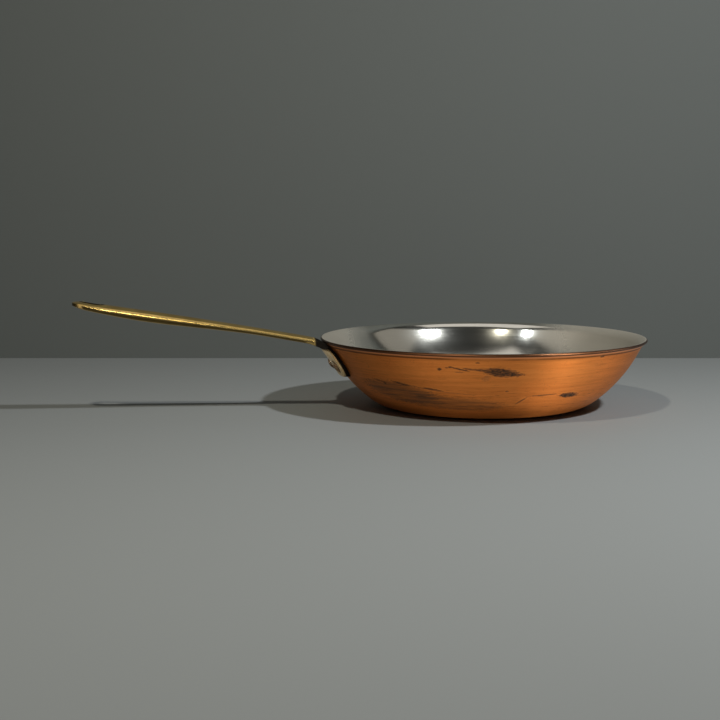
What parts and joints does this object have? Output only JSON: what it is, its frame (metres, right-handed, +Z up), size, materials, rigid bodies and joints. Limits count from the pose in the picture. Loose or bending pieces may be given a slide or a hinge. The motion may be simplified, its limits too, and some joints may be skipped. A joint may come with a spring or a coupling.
{
  "type": "copper frying pan",
  "caption": "Shallow round copper frying pan with a flared pouring lip, a bright bonded lining and a long riveted brass handle with a hanging eye.",
  "frame": {"origin": "centre of the flat base, on the surface that the pan stands on", "axes": "+Z up, along the pan's axis; the handle points along -X; +Y to the left of someone who looks from the handle's tip to the pan"},
  "size_m": [0.4528, 0.26, 0.0891],
  "materials": {
    "copper": "spun copper, worn satin with brown tarnish and scorch marks near the base",
    "lining": "polished, with fine turning lines and light wear",
    "brass": "cast and polished, darker in the hollows and on the pad",
    "rivet_copper": "dull, tarnished copper"
  },
  "bodies": {
    "root": {"copper_shell": "copper", "steel_lining": "lining", "handle": "brass", "rivet_near": "rivet_copper", "rivet_far": "rivet_copper"}
  },
  "joints": []
}
